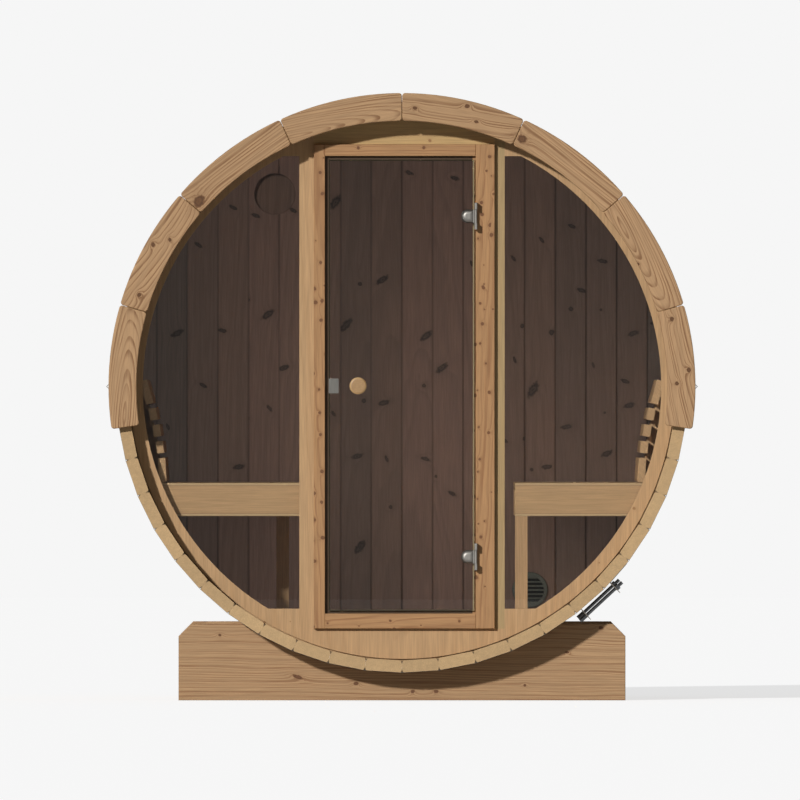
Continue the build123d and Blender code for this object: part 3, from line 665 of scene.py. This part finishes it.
# Three knots on each board: their heights, where 1 is the top of the wall and -1 its foot, and
# how far to the left or right on the board, where 1 is its edge.
wall_knot_reach = (48, 950)  # nearly half a board's width and half the wall's height, in millimetres
wall_knot_heights = [
    (-0.2, 0.1, 0.35), (-0.15, 0.2, -0.5), (0.53, 0.005, -0.4), (0.21, 0.67, -0.3),
    (0.64, 0.27, -0.08), (0.07, 0.66, -0.45), (0.69, -0.05, -0.1), (0.23, -0.26, -0.6),
    (0.40, -0.06, -0.27), (0.80, 0.19, -0.27), (0.07, -0.40, 0.78), (0.46, 0.10, -0.35),
    (0.48, -0.2, 0.1), (-0.01, 0.55, -0.3), (0.36, -0.15, 0.6), (0.08, 0.47, -0.25),
    (0.02, 0.20, -0.07), (0.1, -0.3, 0.4),
]
wall_knot_sides = [
    (0.2, -0.4, 0.5), (-0.3, 0.4, 0.1), (-0.3, 0.05, 0.5), (-0.8, 0.0, 0.4),
    (-0.6, 0.3, 0.4), (-0.8, -0.1, 0.3), (0.75, -0.1, 0.6), (-0.75, 0.1, 0.3),
    (-0.3, -0.2, 0.0), (-0.6, 0.65, 0.6), (-0.45, 0.3, 0.5), (-0.5, 0.4, 0.2),
    (0.3, -0.4, 0.4), (-0.5, 0.1, 0.5), (0.8, -0.3, 0.1), (-0.6, 0.1, 0.4),
    (-0.5, 0.1, -0.2), (0.2, -0.3, 0.4),
]


def board_lay(tree, xyz):
    """Upright grain with each board's own tint, its knots, and dust and painted shade along its joints."""
    x, y, z = xyz
    cover = wall_cover * 1000
    board = add(tree, "ShaderNodeMath", [x, cover], operation="DIVIDE")
    board = add(tree, "ShaderNodeMath", [board], operation="FLOOR")
    tint = colour_by_board(tree, board, [linear(wall_tints[kind]) for kind in wall_order])
    # Darker near each joint: dust, and painted shade in the V.
    to_joint = add(tree, "ShaderNodeMath", [x, cover / 2], operation="PINGPONG")
    clean = add(tree, "ShaderNodeMapRange", {0: to_joint, 1: 1.0, 2: 5.0, 3: 0.68, 4: 1.0})
    early = add(tree, "ShaderNodeVectorMath", {0: tint, "Scale": clean}, operation="SCALE")
    late_tone = 0.62  # of the late wood beside the early
    late = add(tree, "ShaderNodeVectorMath", {0: early, "Scale": late_tone}, operation="SCALE")
    heights = by_board(tree, board, wall_knot_heights)
    sides = by_board(tree, board, wall_knot_sides)
    middle = add(tree, "ShaderNodeMath", [board, cover, cover / 2], operation="MULTIPLY_ADD")
    off = add(tree, "ShaderNodeMath", [x, middle], operation="SUBTRACT")
    up = add(tree, "ShaderNodeMath", [z, axis_height], operation="SUBTRACT")
    chance = add(tree, "ShaderNodeTexWhiteNoise", {"W": board}, noise_dimensions="1D")
    dice = add(tree, "ShaderNodeSeparateXYZ", [chance.outputs["Color"]]).outputs
    nearest = far_away
    for height, side, luck in zip(heights, sides, dice):
        across = add(tree, "ShaderNodeMath", [side, -wall_knot_reach[0], off], operation="MULTIPLY_ADD")
        along = add(tree, "ShaderNodeMath", [height, -wall_knot_reach[1], up], operation="MULTIPLY_ADD")
        spot = add(tree, "ShaderNodeCombineXYZ", [across, along, 0])
        turn = add(tree, "ShaderNodeMath", [luck, 2.4, -1.0], operation="MULTIPLY_ADD")
        turned = add(tree, "ShaderNodeVectorRotate", {"Vector": spot, "Angle": turn}, rotation_type="Z_AXIS")
        size = add(tree, "ShaderNodeMath", [luck, 0.05, 0.03], operation="MULTIPLY_ADD")
        narrow = add(tree, "ShaderNodeVectorMath", [turned, (1, 2.3, 0)], operation="MULTIPLY")
        reach = add(tree, "ShaderNodeVectorMath", [narrow], operation="LENGTH").outputs["Value"]
        reach = add(tree, "ShaderNodeMath", [reach, size], operation="MULTIPLY")
        nearest = add(tree, "ShaderNodeMath", [nearest, reach], operation="MINIMUM")
    return {
        "Along": z, "Across": x, "Depth": y, "Board": board, "Early Wood": early,
        "Late Wood": late, "Placed Knot": nearest,
    }


wall_low, wall_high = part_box("back_wall")
wall_middle = (wall_low + wall_high) / 2
wall_thickness = wall_high.y - wall_low.y
heat_treated = planed_wood(
    "heat-treated spruce boards", ("6A5748", "4A3A30", "2E231D"), board_lay,
    ring_width=13, ring_contrast=0.45, swirl=26, knot_share=0.25, knot_size=8, board_contrast=0.12,
)
cover_low, cover_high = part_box("vent_cover")
grille_low, grille_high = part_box("vent_grille")
cover_middle = (cover_low + cover_high) / 2 - wall_middle
grille_middle = (grille_low + grille_high) / 2 - wall_middle
sink_depth = cover_high.y - wall_low.y
sink_middle = sink_depth - bore_length / 2 - wall_thickness / 2
back_wall = grown(
    "back_wall_boards", boarded_wall(),
    {
        "Boards": len(wall_order), "Cover": wall_cover, "V Joint": joint_width,
        "Thickness": wall_thickness, "Tongue": wall_thickness - wall_rebate,
        "Radius": (wall_high.x - wall_low.x) / 2, "Face Radius": wall_face_radius,
        "High Bore": 0.060, "High Place": (cover_middle.x, 0, cover_middle.z),
        "Sink": 0.0735, "Sink Place": (cover_middle.x, sink_middle, cover_middle.z),
        "Low Bore": 0.05, "Low Place": (grille_middle.x, 0, grille_middle.z), "Wood": heat_treated,
    },
    wall_middle,
)
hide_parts("back_wall")
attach(back_wall, "cabin")
cover_wood = planed_wood(
    "heat-treated spruce vent cover", ("836658", "54413A", "2E231D"), upright_lay,
    ring_width=13, ring_contrast=0.45, swirl=26, knot_share=0.0,
)
paint(cover_wood, "vent_cover")


# Vent grille. One moulding of dark grey ABS, set over the lower bore, with painted shade that
# darkens it from the front edges of its louvres back into the slots; a fine mould grain leaves it satin.
def mottled(tree, point, dark, light, stretch):
    """Two tones of one colour in soft streaks of the given lengths in millimetres."""
    scale = tuple(1 / size for size in stretch)
    along = add(tree, "ShaderNodeVectorMath", [point, scale], operation="MULTIPLY")
    noise = add(tree, "ShaderNodeTexNoise", {"Vector": along, "Scale": 1, "Detail": 3})
    share = add(tree, "ShaderNodeMapRange", {0: noise, 1: 0.3, 2: 0.7})
    colour = add(
        tree, "ShaderNodeMix", {0: share, 6: linear(dark), 7: linear(light)}, data_type="RGBA"
    )
    return colour.outputs[2], noise


moulded_plastic, tree = new_material("dark moulded plastic")
point = millimetres(tree)
grey, grain = mottled(tree, point, "55564F", "6A6B64", (3, 3, 3))
# Painted shade: the grey darkens from the grille's front face back into its slots.
depth = add(tree, "ShaderNodeSeparateXYZ", [point]).outputs[1]
face = grille_low.y * 1000
depth = add(tree, "ShaderNodeMapRange", {0: depth, 1: face + 0.3, 2: face + 3})
grey = add(tree, "ShaderNodeMix", {0: depth, 6: grey, 7: linear("2A2B2A")}, data_type="RGBA")
relief = add(tree, "ShaderNodeBump", {"Strength": 0.3, "Distance": 0.0001, "Height": grain})
plastic = add(
    tree, "ShaderNodeBsdfPrincipled",
    {"Base Color": grey.outputs[2], "Roughness": 0.55, "IOR": 1.46, "Specular IOR Level": 0.25,
     "Normal": relief},
)
add(tree, "ShaderNodeOutputMaterial", [plastic])
paint(moulded_plastic, "vent_grille")


# Bands, tighteners and hinges. Rolled steel strap with zinc spangle, a dark zinc-plated rod with
# its thread, and cast hinges and a catch plate with a satin brushed finish.
rod_lean = -47.2  # degrees from upright to the line of the threaded rod


def metal(name, dark, light, stretch, roughness, thread=0.0):
    """Bare or plated metal, mottled in colour and shine; a thread is given by its pitch."""
    material, tree = new_material(name)
    point = millimetres(tree)
    colour, noise = mottled(tree, point, dark, light, stretch)
    shine = add(
        tree, "ShaderNodeMapRange", {0: noise, 1: 0.3, 2: 0.7, 3: roughness - 0.06, 4: roughness + 0.08}
    )
    height = noise
    if thread:
        turned = add(
            tree, "ShaderNodeVectorRotate", {"Vector": point, "Angle": math.radians(rod_lean)},
            rotation_type="Y_AXIS",
        )
        turn = add(tree, "ShaderNodeSeparateXYZ", [turned]).outputs[2]
        turn = add(tree, "ShaderNodeMath", [turn, 2 * math.pi / thread], operation="MULTIPLY")
        height = add(tree, "ShaderNodeMath", [turn], operation="SINE")
    relief = add(tree, "ShaderNodeBump", {"Strength": 0.25, "Distance": 0.0003, "Height": height})
    surface = add(
        tree, "ShaderNodeBsdfPrincipled",
        {"Base Color": colour, "Metallic": 1.0, "Roughness": shine, "Normal": relief},
    )
    add(tree, "ShaderNodeOutputMaterial", [surface])
    return material


paint(metal("zinc-coated steel band", "7E7870", "9C958B", (18, 60, 18), 0.5), "steel_bands")
paint(metal("dark zinc threaded rod", "4E5052", "66686A", (5, 5, 5), 0.5, thread=1.75), "band_tighteners")
paint(metal("satin cast hinge", "6E6B66", "7C7973", (1.2, 1.2, 30), 0.42), "hinge_clamps", "hinge_bars")
paint(metal("satin catch plate", "585652", "64625D", (1.2, 1.2, 30), 0.45), "catch_plate")


# Door knob. A turned and lacquered softwood disc, fixed through the glass, its rounded rim
# painted lighter than its face as a highlight, with fine rings left by the tool.
highlight_start, highlight_full = 23, 28  # distance from the middle where the painted highlight on the rim begins and is lightest
tool_pitch = 0.8
knob_low, knob_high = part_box("door_knob")
knob_middle = (knob_low + knob_high) / 2 * 1000
turned_wood, tree = new_material("turned and lacquered softwood")
point = millimetres(tree)
offset = add(tree, "ShaderNodeVectorMath", [point, tuple(knob_middle)], operation="SUBTRACT")
offset = add(tree, "ShaderNodeVectorMath", [offset, (1, 0, 1)], operation="MULTIPLY")
radius = add(tree, "ShaderNodeVectorMath", [offset], operation="LENGTH").outputs["Value"]
face_wood, fibre = mottled(tree, point, "8F6C40", "A37F51", (9, 9, 3))
# Painted highlight: the rounded rim is lighter than the face.
rim = add(
    tree, "ShaderNodeMapRange", {0: radius, 1: highlight_start, 2: highlight_full}, interpolation_type="SMOOTHSTEP"
)
wood = add(tree, "ShaderNodeMix", {0: rim, 6: face_wood, 7: linear("BF9A68")}, data_type="RGBA")
groove = add(tree, "ShaderNodeMath", [radius, 2 * math.pi / tool_pitch], operation="MULTIPLY")
groove = add(tree, "ShaderNodeMath", [groove], operation="SINE")
relief = add(tree, "ShaderNodeBump", {"Strength": 0.1, "Distance": 0.0001, "Height": groove})
lacquered = add(
    tree, "ShaderNodeBsdfPrincipled",
    {"Base Color": wood.outputs[2], "Roughness": 0.5, "IOR": 1.5, "Coat Weight": 0.25,
     "Coat Roughness": 0.3, "Normal": relief},
)
add(tree, "ShaderNodeOutputMaterial", [lacquered])
paint(turned_wood, "door_knob")


# Glass. Toughened panes let into the wall and a frameless leaf; light and shadow rays pass
# straight through a pane, so that the cabin behind is lit once only.
def clear_glass(name):
    """Clear soda-lime glass, polished, with a reflection too faint to veil what is behind it."""
    material, tree = new_material(name)
    pane = add(
        tree, "ShaderNodeBsdfPrincipled",
        {"Base Color": linear("F2F4F0"), "Roughness": 0.0, "IOR": 1.45, "Specular IOR Level": 0.04,
         "Transmission Weight": 1.0},
    )
    light = add(tree, "ShaderNodeBsdfTransparent", {"Color": linear("F0F2EE")})
    path = add(tree, "ShaderNodeLightPath")
    both = add(tree, "ShaderNodeMixShader", [path.outputs["Is Shadow Ray"], pane, light])
    both = add(tree, "ShaderNodeMixShader", [path.outputs["Is Diffuse Ray"], both, light])
    add(tree, "ShaderNodeOutputMaterial", [both])
    return material


paint(clear_glass("toughened clear glass"), "window_glass_left", "window_glass_right", "door_glass")


# Ground edge of the door glass: a fine grey band all round inside the leaf, slanting in from
# its front arris, painted dark as shade but for the hinge side, which is painted pale as a highlight.
leaf_low, leaf_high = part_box("door_glass")
edge_width = 0.0035
edge_inset = 0.0004
front, back = leaf_low.y + edge_inset, leaf_low.y + edge_inset + edge_width
rings = [(edge_inset, front), (edge_inset + edge_width, back), (edge_inset, back)]
corners = [(0, 0), (1, 0), (1, 1), (0, 1)]
points = []
for inset, y in rings:
    for right, top in corners:
        x = leaf_high.x - inset if right else leaf_low.x + inset
        z = leaf_high.z - inset if top else leaf_low.z + inset
        points.append((x, y, z))
quads = []
for ring in range(len(rings)):
    first, second = 4 * ring, 4 * ((ring + 1) % len(rings))
    for i in range(4):
        following = (i + 1) % 4
        quads.append((first + i, first + following, second + following, second + i))
edge_mesh = bpy.data.meshes.new("door_glass_edge")
edge_mesh.from_pydata(points, [], quads)
shaped = bmesh.new()
shaped.from_mesh(edge_mesh)
bmesh.ops.recalc_face_normals(shaped, faces=shaped.faces)
shaped.to_mesh(edge_mesh)
shaped.free()
glass_edge = bpy.data.objects.new("door_glass_edge", edge_mesh)
bpy.context.scene.collection.objects.link(glass_edge)
ground_glass, tree = new_material("ground glass edge")
point = millimetres(tree)
painted_shade_band, grain = mottled(tree, point, "3F3729", "4B4231", (2, 2, 2))
highlight_from = leaf_high.x * 1000 - 6  # the painted highlight on the hinge side's band begins here
across = add(tree, "ShaderNodeSeparateXYZ", [point]).outputs[0]
# Painted highlight on the hinge side's band; the rest of the band keeps its painted shade.
clean = add(tree, "ShaderNodeMapRange", {0: across, 1: highlight_from, 2: highlight_from + 1})
frost = add(tree, "ShaderNodeMix", {0: clean, 6: painted_shade_band, 7: linear("94886C")}, data_type="RGBA").outputs[2]
relief = add(tree, "ShaderNodeBump", {"Strength": 0.3, "Distance": 0.0001, "Height": grain})
frosted = add(
    tree, "ShaderNodeBsdfPrincipled",
    {"Base Color": frost, "Roughness": 0.8, "IOR": 1.5, "Specular IOR Level": 0.2, "Normal": relief},
)
add(tree, "ShaderNodeOutputMaterial", [frosted])
edge_mesh.materials.append(ground_glass)
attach(glass_edge, "door")


# Studio. A wide pale floor and a white surround, which the lens, mirrors and glass see as white
# but which light the barrel only softly; one high sun from the left and in front.
def shown_white(tree):
    """One for rays straight from the lens, by rough metal or through glass, but not by a mirror."""
    path = add(tree, "ShaderNodeLightPath").outputs
    rough = add(
        tree, "ShaderNodeMath", [path["Is Glossy Ray"], path["Is Singular Ray"]], operation="SUBTRACT"
    )
    seen = add(tree, "ShaderNodeMath", [path["Is Camera Ray"], rough], operation="MAXIMUM")
    seen = add(tree, "ShaderNodeMath", [seen, path["Is Transmission Ray"]], operation="MAXIMUM")
    lost = add(
        tree, "ShaderNodeMath", [path["Glossy Depth"], path["Transmission Depth"], path["Diffuse Depth"]],
        operation="MULTIPLY_ADD",
    )
    return add(tree, "ShaderNodeMath", [seen, lost], operation="GREATER_THAN")


floor_reach = 60
floor_mesh = bpy.data.meshes.new("floor")
floor_mesh.from_pydata(
    [(x * floor_reach, y * floor_reach, 0) for x, y in ((-1, -1), (1, -1), (1, 1), (-1, 1))],
    [], [(0, 1, 2, 3)],
)
floor = bpy.data.objects.new("floor", floor_mesh)
bpy.context.scene.collection.objects.link(floor)
pale, tree = new_material("pale studio floor")
matt = add(tree, "ShaderNodeBsdfDiffuse", {"Color": linear("C8C8C8")})
glow = add(tree, "ShaderNodeEmission", {"Color": linear("F6F6F6"), "Strength": 0.74})
lifted = add(tree, "ShaderNodeAddShader", [matt, glow])
floor_look = add(tree, "ShaderNodeMixShader", [shown_white(tree), matt, lifted])
add(tree, "ShaderNodeOutputMaterial", [floor_look])
floor_mesh.materials.append(pale)

world = bpy.data.worlds.new("studio")
bpy.context.scene.world = world
world.use_nodes = True
tree = world.node_tree
tree.nodes.clear()
soft = add(tree, "ShaderNodeBackground", {"Color": (1, 1, 1, 1), "Strength": 0.13})
white = add(tree, "ShaderNodeBackground", {"Color": linear("F6F6F6"), "Strength": 1.0})
surround = add(tree, "ShaderNodeMixShader", [shown_white(tree), soft, white])
add(tree, "ShaderNodeOutputWorld", [surround])


def sun(name, energy, spread, heading=(0.49, 1, -0.37)):
    """A sun with its strength, its spread in degrees and the way its light travels."""
    lamp = bpy.data.lights.new(name, "SUN")
    lamp.energy = energy
    lamp.angle = math.radians(spread)
    holder = bpy.data.objects.new(name, lamp)
    holder.rotation_euler = Vector(heading).to_track_quat("-Z", "Y").to_euler()
    bpy.context.scene.collection.objects.link(holder)
    return holder


# The dark wall at the back is in even shade: the hard sun leaves it out, and a softer one, which
# only the wall itself can shade, and a wide one from in front fill it. Another wide one lifts the
# whole inside, and one from behind lifts the back of the barrel but not the floor.
key = sun("key", 2.9, 2.5)
fill = sun("fill", 0.62, 12)
soft_fill = sun("soft fill", 0.68, 60, (0.1, 1, -0.1))
lift = sun("lift", 0.4, 60, (0.1, 1, -0.1))
behind = sun("behind", 0.9, 60, (-0.3, -1, -0.4))
wall_pieces = [back_wall, nodes["vent_cover"], nodes["vent_grille"]]
inside_pieces = wall_pieces + [
    piece for name, piece in nodes.items() if name.startswith(("bench_", "backrest_", "floor_deck"))
]
for lamp, pieces, state in (
    (key, wall_pieces, "EXCLUDE"), (fill, wall_pieces, "INCLUDE"), (soft_fill, wall_pieces, "INCLUDE"),
    (lift, inside_pieces, "INCLUDE"), (behind, [floor], "EXCLUDE"),
):
    receivers = bpy.data.collections.new("receivers of " + lamp.name)
    for piece in pieces:
        receivers.objects.link(piece)
    for member in receivers.collection_objects:
        member.light_linking.link_state = state
    lamp.light_linking.receiver_collection = receivers
blockers = bpy.data.collections.new("blockers of " + fill.name)
for piece in wall_pieces:
    blockers.objects.link(piece)
fill.light_linking.blocker_collection = blockers

view_width = 2.8016  # metres across the view at the front arch
camera = bpy.data.cameras.new("camera")
camera.lens = 1500
camera.sensor_width = 36
camera.clip_start = 1
camera.clip_end = 400
arch_front = cad_bounds[0][1]
eye = bpy.data.objects.new("camera", camera)
eye.location = (-0.007, arch_front - view_width * camera.lens / camera.sensor_width, 1.0537)
eye.rotation_euler = (math.pi / 2, 0, 0)
bpy.context.scene.collection.objects.link(eye)
bpy.context.scene.camera = eye
bpy.context.scene.view_settings.view_transform = "Standard"
